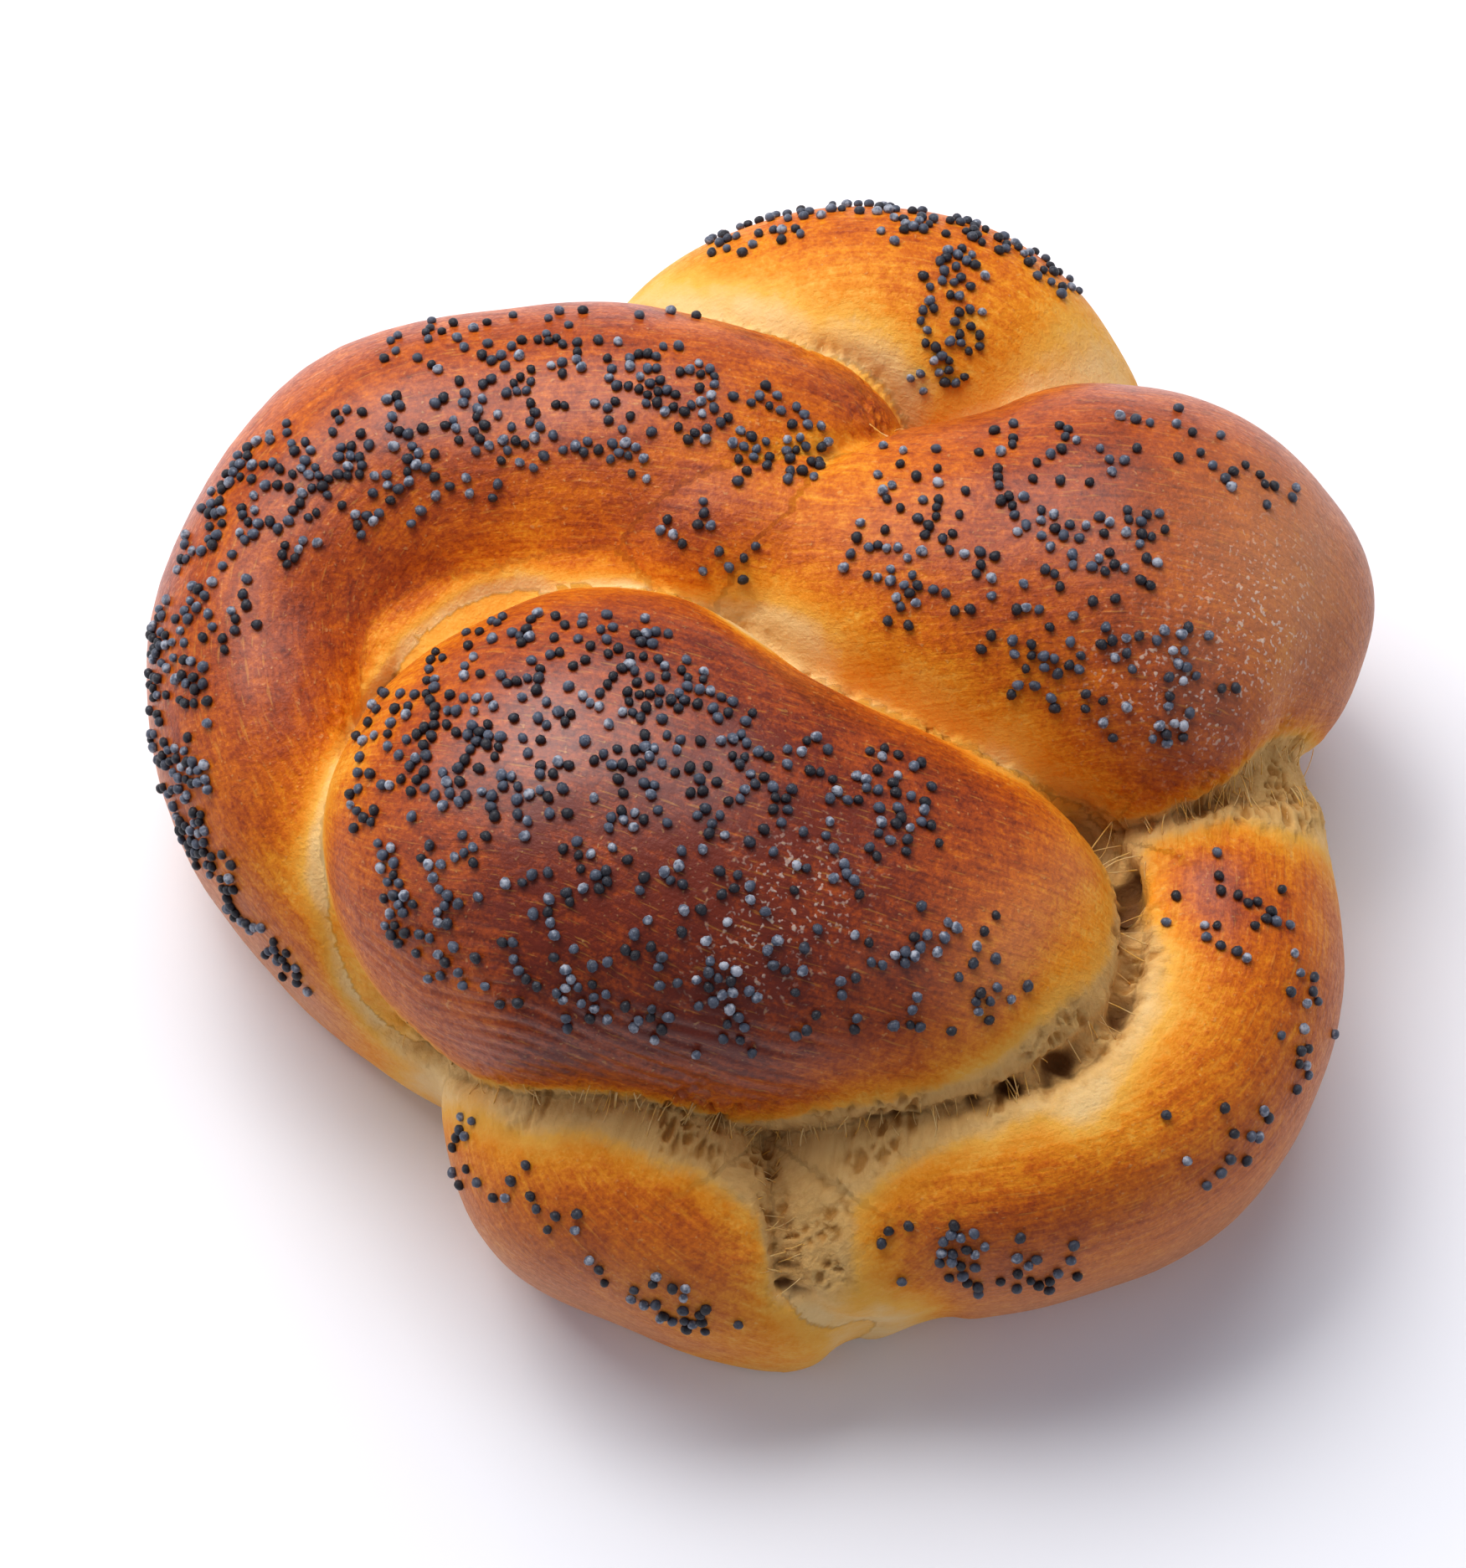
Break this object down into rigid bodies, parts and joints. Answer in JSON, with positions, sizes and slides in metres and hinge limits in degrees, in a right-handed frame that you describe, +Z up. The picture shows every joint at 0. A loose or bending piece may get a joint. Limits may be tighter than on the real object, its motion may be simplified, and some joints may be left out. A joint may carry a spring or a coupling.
{
  "type": "braided bread roll",
  "caption": "Braided bread roll: thick strands of dough knotted over and under each other, baked into one piece, with a flat base and a glossy brown crust strewn with poppy seeds.",
  "frame": {"origin": "on the flat base, under the middle of the roll's outline", "axes": "+Z up from the base; +X to the right and +Y to the back, with the wide centre lobe towards the viewer"},
  "size_m": [0.1172, 0.1158, 0.049],
  "materials": {
    "crust": "satin",
    "crumb": "matte",
    "poppy_seed": "matte"
  },
  "bodies": {
    "root": {"loaf": "crust"}
  },
  "joints": []
}
